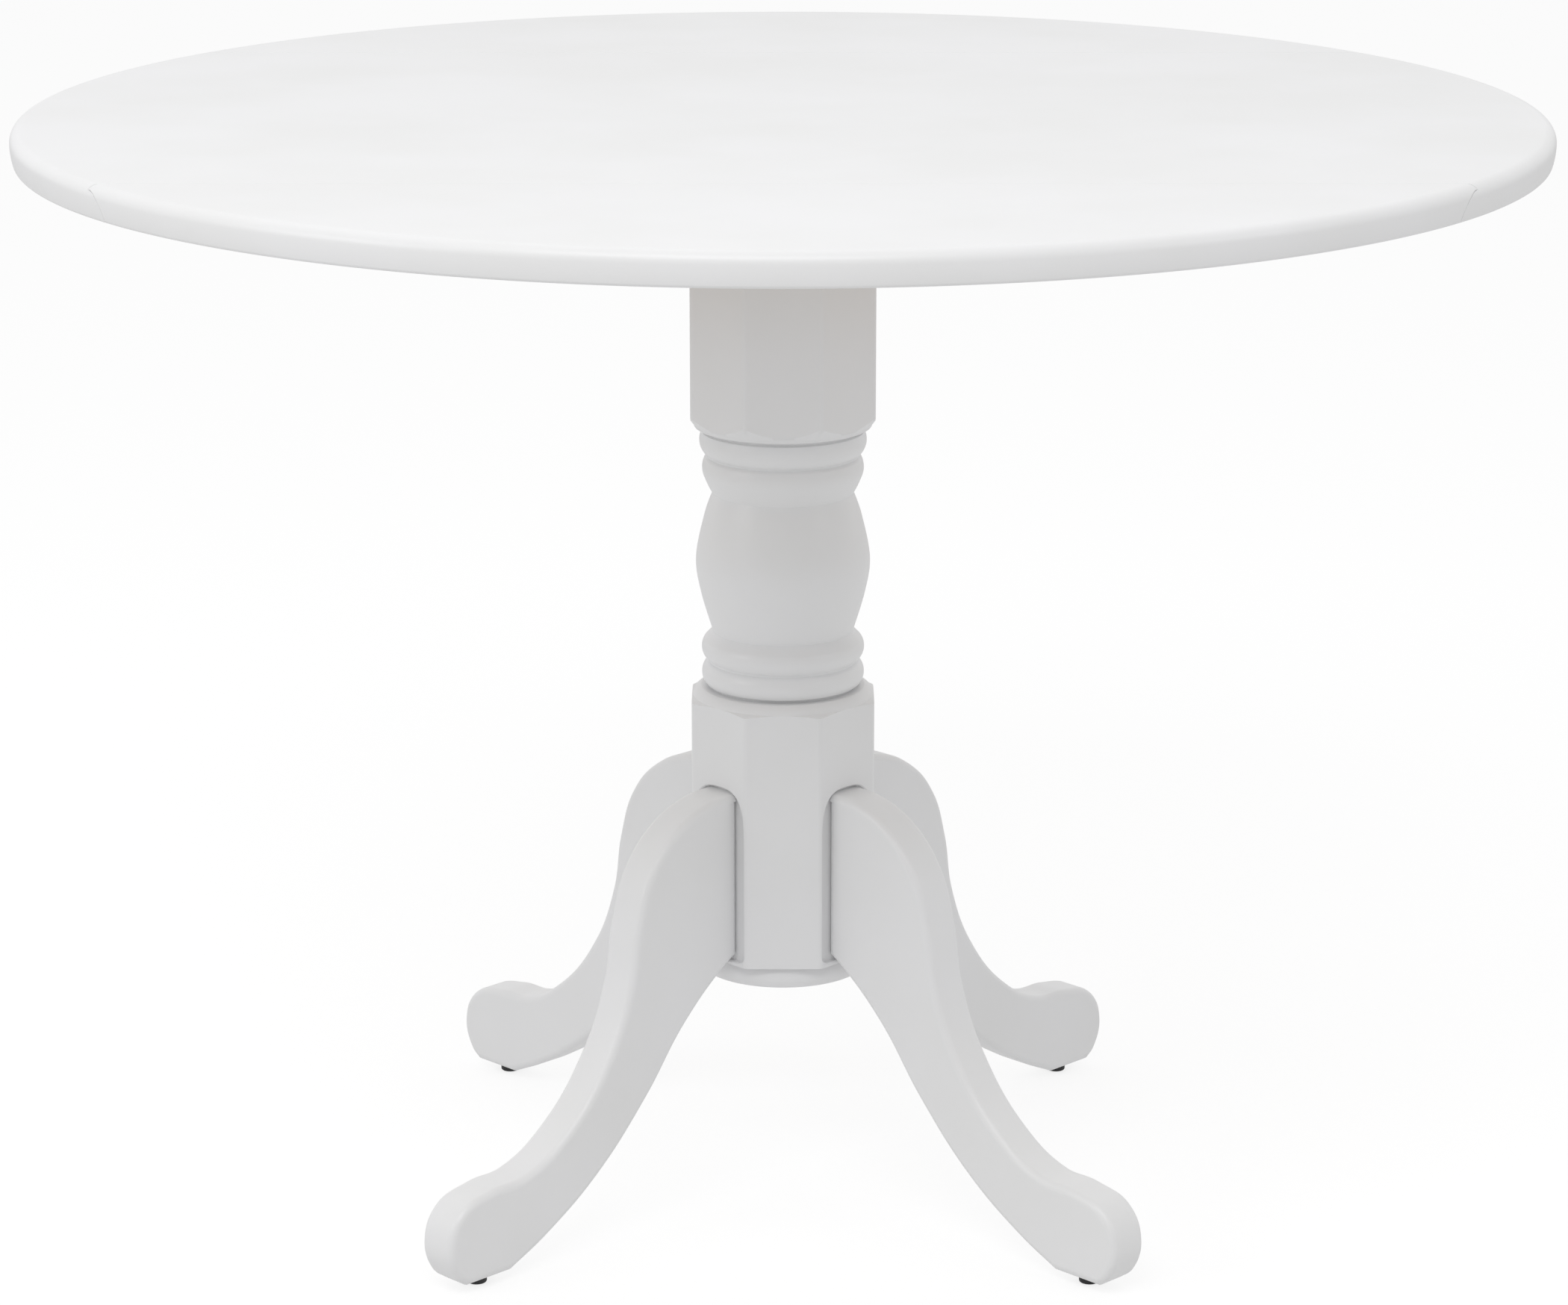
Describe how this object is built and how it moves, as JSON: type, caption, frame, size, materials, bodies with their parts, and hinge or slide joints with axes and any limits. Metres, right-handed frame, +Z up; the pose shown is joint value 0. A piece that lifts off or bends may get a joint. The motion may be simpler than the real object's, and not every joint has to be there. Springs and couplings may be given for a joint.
{
  "type": "round drop leaf pedestal table",
  "caption": "Round white dining table on a turned octagonal pedestal with S-curved splayed legs; drop leaves fold down on rule joints with folding stays.",
  "frame": {"origin": "on the floor, on the pedestal's axis", "axes": "+Z up; +X to the right along the leaves' hinge lines; -Y towards the front leaf"},
  "size_m": [1.016, 1.016, 0.749],
  "materials": {
    "white_paint": "satin white lacquer over solid wood",
    "bare_wood": "unpainted sanded hardwood on the hidden under-frame",
    "zinc_steel": "bright zinc plating on pressed steel",
    "glide_plastic": "matte moulded black plastic"
  },
  "bodies": {
    "base_and_centre": {"centre_panel": "white_paint", "mounting_plate": "bare_wood", "cleat_left": "bare_wood", "cleat_right": "bare_wood", "pedestal_column": "white_paint", "column_bottom_cap": "white_paint", "column_screw_left": "zinc_steel", "column_screw_right": "zinc_steel", "column_screw_front": "zinc_steel", "column_screw_back": "zinc_steel", "leg_front_left": "white_paint", "glide_front_left": "glide_plastic", "leg_bolt_front_left_upper": "zinc_steel", "leg_bolt_front_left_lower": "zinc_steel", "leg_front_right": "white_paint", "glide_front_right": "glide_plastic", "leg_bolt_front_right_upper": "zinc_steel", "leg_bolt_front_right_lower": "zinc_steel", "leg_back_right": "white_paint", "glide_back_right": "glide_plastic", "leg_bolt_back_right_upper": "zinc_steel", "leg_bolt_back_right_lower": "zinc_steel", "leg_back_left": "white_paint", "glide_back_left": "glide_plastic", "leg_bolt_back_left_upper": "zinc_steel", "leg_bolt_back_left_lower": "zinc_steel", "front_left_hinge_panel_plate": "zinc_steel", "front_left_hinge_pin": "zinc_steel", "front_left_stay_panel_bracket": "zinc_steel", "front_right_hinge_panel_plate": "zinc_steel", "front_right_hinge_pin": "zinc_steel", "front_right_stay_panel_bracket": "zinc_steel", "back_left_hinge_panel_plate": "zinc_steel", "back_left_hinge_pin": "zinc_steel", "back_left_stay_panel_bracket": "zinc_steel", "back_right_hinge_panel_plate": "zinc_steel", "back_right_hinge_pin": "zinc_steel", "back_right_stay_panel_bracket": "zinc_steel"},
    "front_left_upper_arm": {"front_left_stay_upper_arm": "zinc_steel"},
    "front_left_lower_arm": {"front_left_stay_lower_arm": "zinc_steel"},
    "front_right_upper_arm": {"front_right_stay_upper_arm": "zinc_steel"},
    "front_right_lower_arm": {"front_right_stay_lower_arm": "zinc_steel"},
    "front_leaf": {"front_leaf": "white_paint", "front_left_hinge_leaf_plate": "zinc_steel", "front_left_stay_leaf_bracket": "zinc_steel", "front_right_hinge_leaf_plate": "zinc_steel", "front_right_stay_leaf_bracket": "zinc_steel"},
    "back_left_upper_arm": {"back_left_stay_upper_arm": "zinc_steel"},
    "back_left_lower_arm": {"back_left_stay_lower_arm": "zinc_steel"},
    "back_right_upper_arm": {"back_right_stay_upper_arm": "zinc_steel"},
    "back_right_lower_arm": {"back_right_stay_lower_arm": "zinc_steel"},
    "back_leaf": {"back_leaf": "white_paint", "back_left_hinge_leaf_plate": "zinc_steel", "back_left_stay_leaf_bracket": "zinc_steel", "back_right_hinge_leaf_plate": "zinc_steel", "back_right_stay_leaf_bracket": "zinc_steel"}
  },
  "joints": [
    {"name": "front_leaf_hinge", "type": "hinge", "parent": "base_and_centre", "child": "front_leaf", "pos_m": [0, -0.28, 0.729], "axis": [1, 0, 0], "range_deg": [0, 90]},
    {"name": "front_left_upper_arm_pivot", "type": "hinge", "parent": "base_and_centre", "child": "front_left_upper_arm", "pos_m": [-0.105, -0.185, 0.717], "axis": [1, 0, 0], "range_deg": [0, 90]},
    {"name": "front_left_lower_arm_pivot", "type": "hinge", "parent": "front_leaf", "child": "front_left_lower_arm", "pos_m": [-0.105, -0.375, 0.717], "axis": [-1, 0, 0], "range_deg": [0, 90]},
    {"name": "front_right_upper_arm_pivot", "type": "hinge", "parent": "base_and_centre", "child": "front_right_upper_arm", "pos_m": [0.105, -0.185, 0.717], "axis": [1, 0, 0], "range_deg": [0, 90]},
    {"name": "front_right_lower_arm_pivot", "type": "hinge", "parent": "front_leaf", "child": "front_right_lower_arm", "pos_m": [0.105, -0.375, 0.717], "axis": [-1, 0, 0], "range_deg": [0, 90]},
    {"name": "back_leaf_hinge", "type": "hinge", "parent": "base_and_centre", "child": "back_leaf", "pos_m": [0, 0.28, 0.729], "axis": [-1, 0, 0], "range_deg": [0, 90]},
    {"name": "back_left_upper_arm_pivot", "type": "hinge", "parent": "base_and_centre", "child": "back_left_upper_arm", "pos_m": [-0.105, 0.185, 0.717], "axis": [-1, 0, 0], "range_deg": [0, 90]},
    {"name": "back_left_lower_arm_pivot", "type": "hinge", "parent": "back_leaf", "child": "back_left_lower_arm", "pos_m": [-0.105, 0.375, 0.717], "axis": [1, 0, 0], "range_deg": [0, 90]},
    {"name": "back_right_upper_arm_pivot", "type": "hinge", "parent": "base_and_centre", "child": "back_right_upper_arm", "pos_m": [0.105, 0.185, 0.717], "axis": [-1, 0, 0], "range_deg": [0, 90]},
    {"name": "back_right_lower_arm_pivot", "type": "hinge", "parent": "back_leaf", "child": "back_right_lower_arm", "pos_m": [0.105, 0.375, 0.717], "axis": [1, 0, 0], "range_deg": [0, 90]}
  ],
  "couplings": [
    {"joint": "front_left_upper_arm_pivot", "follows": "front_leaf_hinge", "ratio": 1},
    {"joint": "front_left_lower_arm_pivot", "follows": "front_leaf_hinge", "ratio": 1},
    {"joint": "front_right_upper_arm_pivot", "follows": "front_leaf_hinge", "ratio": 1},
    {"joint": "front_right_lower_arm_pivot", "follows": "front_leaf_hinge", "ratio": 1},
    {"joint": "back_left_upper_arm_pivot", "follows": "back_leaf_hinge", "ratio": 1},
    {"joint": "back_left_lower_arm_pivot", "follows": "back_leaf_hinge", "ratio": 1},
    {"joint": "back_right_upper_arm_pivot", "follows": "back_leaf_hinge", "ratio": 1},
    {"joint": "back_right_lower_arm_pivot", "follows": "back_leaf_hinge", "ratio": 1}
  ]
}
